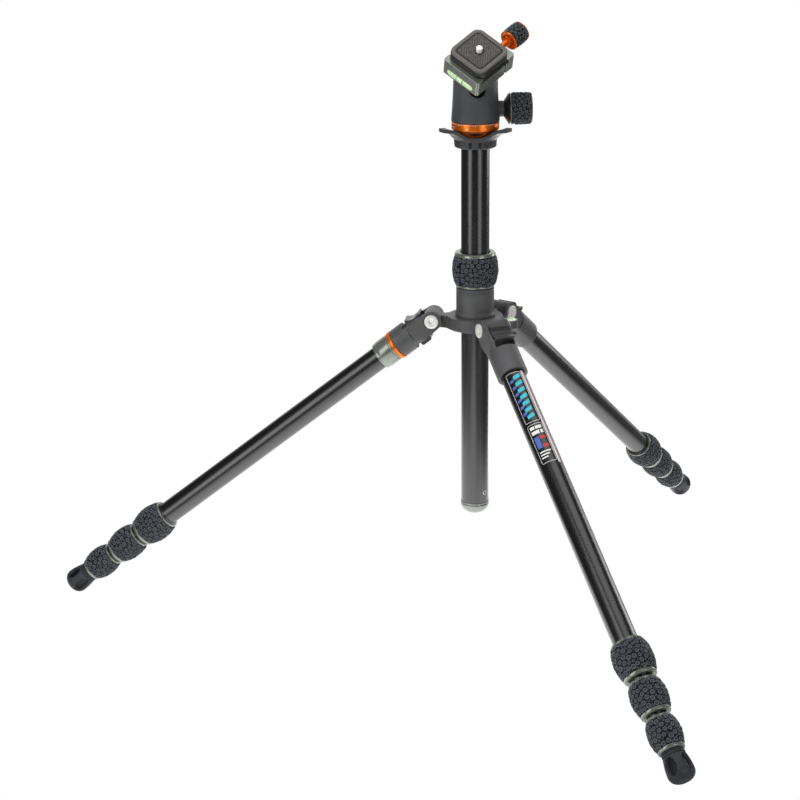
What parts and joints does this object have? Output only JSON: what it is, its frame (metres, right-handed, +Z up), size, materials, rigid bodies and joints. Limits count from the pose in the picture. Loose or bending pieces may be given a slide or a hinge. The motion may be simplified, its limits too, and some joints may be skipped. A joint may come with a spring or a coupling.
{
  "type": "travel tripod",
  "caption": "Travel tripod with folding legs in sliding sections, a sliding centre column and a ball head whose quick-release clamp holds a camera plate.",
  "frame": {"origin": "middle of the footprint's box, on the floor", "axes": "+Z up; leg a points to -X, legs b and c to +X and -Y, and +X and +Y"},
  "size_m": [0.6397, 0.735, 0.5838],
  "materials": {
    "black_casting": "fine-textured charcoal powder coat",
    "grey_casting": "fine-textured dark grey powder coat",
    "black_tube": "satin black anodised",
    "green_anodised": "matt grey-green anodised",
    "orange_anodised": "satin orange anodised",
    "steel": "bright zinc plated",
    "grip_rubber": "matt slate-black, moulded with round bubbles",
    "foot_rubber": "matt slate-black, ribbed",
    "pad_rubber": "matt warm dark grey with a fine grid",
    "black_plastic": "satin black moulded nylon",
    "vial": "clear vial with pale green liquid"
  },
  "bodies": {
    "canopy": {"canopy": "black_casting", "hinge_bolts": "steel", "column_sleeve": "black_casting", "column_collet": "black_plastic", "canopy_level": "vial"},
    "column_lock": {"column_lock_nut": "green_anodised", "column_lock_grip": "grip_rubber"},
    "column": {"column_tube": "black_tube", "column_end_cap": "green_anodised", "head_platform": "black_casting", "head_screw": "steel", "pan_base": "orange_anodised"},
    "head": {"head_housing": "grey_casting", "ball_seat": "black_plastic"},
    "ball": {"ball": "black_tube"},
    "ball_knob": {"ball_knob": "green_anodised", "ball_knob_grip": "grip_rubber"},
    "clamp": {"clamp_body": "green_anodised", "clamp_level": "vial", "jaw_pins": "steel"},
    "jaw": {"clamp_jaw": "green_anodised"},
    "clamp_knob": {"clamp_knob": "orange_anodised", "clamp_knob_grip": "grip_rubber"},
    "plate": {"quick_plate": "black_tube", "plate_pad": "pad_rubber"},
    "camera_screw": {"camera_screw": "steel"},
    "monopod_collar": {"monopod_collar": "green_anodised"},
    "leg_a": {"leg_a_yoke": "black_casting", "leg_a_tube_1": "black_tube", "monopod_ring": "orange_anodised"},
    "leg_a_toggle": {"leg_a_toggle": "black_plastic"},
    "leg_a_lock_1": {"leg_a_lock_1": "grip_rubber"},
    "leg_a_lock_2": {"leg_a_lock_2": "grip_rubber"},
    "leg_a_lock_3": {"leg_a_lock_3": "grip_rubber"},
    "leg_a_section_2": {"leg_a_tube_2": "black_tube"},
    "leg_a_section_3": {"leg_a_tube_3": "black_tube"},
    "leg_a_section_4": {"leg_a_tube_4": "black_tube", "leg_a_foot": "foot_rubber"},
    "leg_b": {"leg_b_yoke": "black_casting", "leg_b_tube_1": "black_tube"},
    "leg_b_toggle": {"leg_b_toggle": "black_plastic"},
    "leg_b_lock_1": {"leg_b_lock_1": "grip_rubber"},
    "leg_b_lock_2": {"leg_b_lock_2": "grip_rubber"},
    "leg_b_lock_3": {"leg_b_lock_3": "grip_rubber"},
    "leg_b_section_2": {"leg_b_tube_2": "black_tube"},
    "leg_b_section_3": {"leg_b_tube_3": "black_tube"},
    "leg_b_section_4": {"leg_b_tube_4": "black_tube", "leg_b_foot": "foot_rubber"},
    "leg_c": {"leg_c_yoke": "black_casting", "leg_c_tube_1": "black_tube"},
    "leg_c_toggle": {"leg_c_toggle": "black_plastic"},
    "leg_c_lock_1": {"leg_c_lock_1": "grip_rubber"},
    "leg_c_lock_2": {"leg_c_lock_2": "grip_rubber"},
    "leg_c_lock_3": {"leg_c_lock_3": "grip_rubber"},
    "leg_c_section_2": {"leg_c_tube_2": "black_tube"},
    "leg_c_section_3": {"leg_c_tube_3": "black_tube"},
    "leg_c_section_4": {"leg_c_tube_4": "black_tube", "leg_c_foot": "foot_rubber"}
  },
  "joints": [
    {"name": "leg_a_swing", "type": "hinge", "parent": "canopy", "child": "leg_a", "pos_m": [0.06186, 0, 0.30031], "axis": [0, -1, 0], "range_deg": [-118, 50]},
    {"name": "leg_b_swing", "type": "hinge", "parent": "canopy", "child": "leg_b", "pos_m": [0.12336, -0.03551, 0.30031], "axis": [0.866, 0.5, 0], "range_deg": [-118, 50]},
    {"name": "leg_c_swing", "type": "hinge", "parent": "canopy", "child": "leg_c", "pos_m": [0.12336, 0.03551, 0.30031], "axis": [-0.866, 0.5, 0], "range_deg": [-118, 50]},
    {"name": "column_slide", "type": "slide", "parent": "canopy", "child": "column", "axis": [0, 0, -1], "range_m": [-0.165, 0.1]},
    {"name": "head_pan", "type": "hinge", "parent": "column", "child": "head", "pos_m": [0.10286, 0, 0.46851], "axis": [0, 0, 1], "continuous": true},
    {"name": "ball_tilt", "type": "hinge", "parent": "head", "child": "ball", "pos_m": [0.10286, 0, 0.52511], "axis": [0.9816, 0.1908, 0], "range_deg": [-77, 48.6]},
    {"name": "clamp_turn", "type": "hinge", "parent": "ball", "child": "clamp", "pos_m": [0.10286, 0, 0.52511], "axis": [0.1262, -0.6492, 0.7501], "continuous": true},
    {"name": "jaw_slide", "type": "slide", "parent": "clamp", "child": "jaw", "axis": [0.6135, 0.6453, 0.4552], "range_m": [0, 0.0025]},
    {"name": "clamp_knob_turn", "type": "hinge", "parent": "jaw", "child": "clamp_knob", "pos_m": [0.12533, -0.00585, 0.56133], "axis": [0.6135, 0.6453, 0.4552], "range_deg": [0, 540]},
    {"name": "plate_slide", "type": "slide", "parent": "clamp", "child": "plate", "axis": [0.7795, -0.4028, -0.4797], "range_m": [-0.01, 0.01]},
    {"name": "camera_screw_turn", "type": "hinge", "parent": "plate", "child": "camera_screw", "pos_m": [0.10809, -0.02687, 0.55617], "axis": [0.1262, -0.6492, 0.7501], "continuous": true},
    {"name": "ball_knob_turn", "type": "hinge", "parent": "head", "child": "ball_knob", "pos_m": [0.10286, 0, 0.50381], "axis": [0.9816, 0.1908, 0], "range_deg": [0, 300]},
    {"name": "column_lock_turn", "type": "hinge", "parent": "canopy", "child": "column_lock", "pos_m": [0.10286, 0, 0.33431], "axis": [0, 0, 1], "range_deg": [0, 120]},
    {"name": "leg_a_section_2_slide", "type": "slide", "parent": "leg_a", "child": "leg_a_section_2", "axis": [-0.788, 0, -0.6157], "range_m": [0, 0.26]},
    {"name": "leg_a_section_3_slide", "type": "slide", "parent": "leg_a_section_2", "child": "leg_a_section_3", "axis": [-0.788, 0, -0.6157], "range_m": [0, 0.26]},
    {"name": "leg_a_section_4_slide", "type": "slide", "parent": "leg_a_section_3", "child": "leg_a_section_4", "axis": [-0.788, 0, -0.6157], "range_m": [0, 0.26]},
    {"name": "leg_b_section_2_slide", "type": "slide", "parent": "leg_b", "child": "leg_b_section_2", "axis": [0.394, -0.6824, -0.6157], "range_m": [0, 0.26]},
    {"name": "leg_b_section_3_slide", "type": "slide", "parent": "leg_b_section_2", "child": "leg_b_section_3", "axis": [0.394, -0.6824, -0.6157], "range_m": [0, 0.26]},
    {"name": "leg_b_section_4_slide", "type": "slide", "parent": "leg_b_section_3", "child": "leg_b_section_4", "axis": [0.394, -0.6824, -0.6157], "range_m": [0, 0.26]},
    {"name": "leg_c_section_2_slide", "type": "slide", "parent": "leg_c", "child": "leg_c_section_2", "axis": [0.394, 0.6824, -0.6157], "range_m": [0, 0.26]},
    {"name": "leg_c_section_3_slide", "type": "slide", "parent": "leg_c_section_2", "child": "leg_c_section_3", "axis": [0.394, 0.6824, -0.6157], "range_m": [0, 0.26]},
    {"name": "leg_c_section_4_slide", "type": "slide", "parent": "leg_c_section_3", "child": "leg_c_section_4", "axis": [0.394, 0.6824, -0.6157], "range_m": [0, 0.26]},
    {"name": "leg_a_toggle_slide", "type": "slide", "parent": "leg_a", "child": "leg_a_toggle", "axis": [-0.788, 0, -0.6157], "range_m": [0, 0.005], "stiffness_N_per_m": 300, "springref_m": -0.002},
    {"name": "leg_a_lock_1_turn", "type": "hinge", "parent": "leg_a", "child": "leg_a_lock_1", "pos_m": [-0.2104, 0, 0.0876], "axis": [-0.788, 0, -0.6157], "range_deg": [0, 120]},
    {"name": "leg_a_lock_2_turn", "type": "hinge", "parent": "leg_a_section_2", "child": "leg_a_lock_2", "pos_m": [-0.24034, 0, 0.0642], "axis": [-0.788, 0, -0.6157], "range_deg": [0, 120]},
    {"name": "leg_a_lock_3_turn", "type": "hinge", "parent": "leg_a_section_3", "child": "leg_a_lock_3", "pos_m": [-0.26832, 0, 0.04235], "axis": [-0.788, 0, -0.6157], "range_deg": [0, 120]},
    {"name": "leg_b_toggle_slide", "type": "slide", "parent": "leg_b", "child": "leg_b_toggle", "axis": [0.394, -0.6824, -0.6157], "range_m": [0, 0.005], "stiffness_N_per_m": 300, "springref_m": -0.002},
    {"name": "leg_b_lock_1_turn", "type": "hinge", "parent": "leg_b", "child": "leg_b_lock_1", "pos_m": [0.25949, -0.27129, 0.0876], "axis": [0.394, -0.6824, -0.6157], "range_deg": [0, 120]},
    {"name": "leg_b_lock_2_turn", "type": "hinge", "parent": "leg_b_section_2", "child": "leg_b_lock_2", "pos_m": [0.27446, -0.29722, 0.0642], "axis": [0.394, -0.6824, -0.6157], "range_deg": [0, 120]},
    {"name": "leg_b_lock_3_turn", "type": "hinge", "parent": "leg_b_section_3", "child": "leg_b_lock_3", "pos_m": [0.28845, -0.32145, 0.04235], "axis": [0.394, -0.6824, -0.6157], "range_deg": [0, 120]},
    {"name": "leg_c_toggle_slide", "type": "slide", "parent": "leg_c", "child": "leg_c_toggle", "axis": [0.394, 0.6824, -0.6157], "range_m": [0, 0.005], "stiffness_N_per_m": 300, "springref_m": -0.002},
    {"name": "leg_c_lock_1_turn", "type": "hinge", "parent": "leg_c", "child": "leg_c_lock_1", "pos_m": [0.25949, 0.27129, 0.0876], "axis": [0.394, 0.6824, -0.6157], "range_deg": [0, 120]},
    {"name": "leg_c_lock_2_turn", "type": "hinge", "parent": "leg_c_section_2", "child": "leg_c_lock_2", "pos_m": [0.27446, 0.29722, 0.0642], "axis": [0.394, 0.6824, -0.6157], "range_deg": [0, 120]},
    {"name": "leg_c_lock_3_turn", "type": "hinge", "parent": "leg_c_section_3", "child": "leg_c_lock_3", "pos_m": [0.28845, 0.32145, 0.04235], "axis": [0.394, 0.6824, -0.6157], "range_deg": [0, 120]},
    {"name": "monopod_collar_turn", "type": "hinge", "parent": "leg_a", "child": "monopod_collar", "pos_m": [0.02758, 0, 0.27353], "axis": [-0.788, 0, -0.6157], "range_deg": [0, 360]}
  ],
  "couplings": [
    {"joint": "clamp_knob_turn", "follows": "jaw_slide", "rad_per_m": 3769.9}
  ]
}
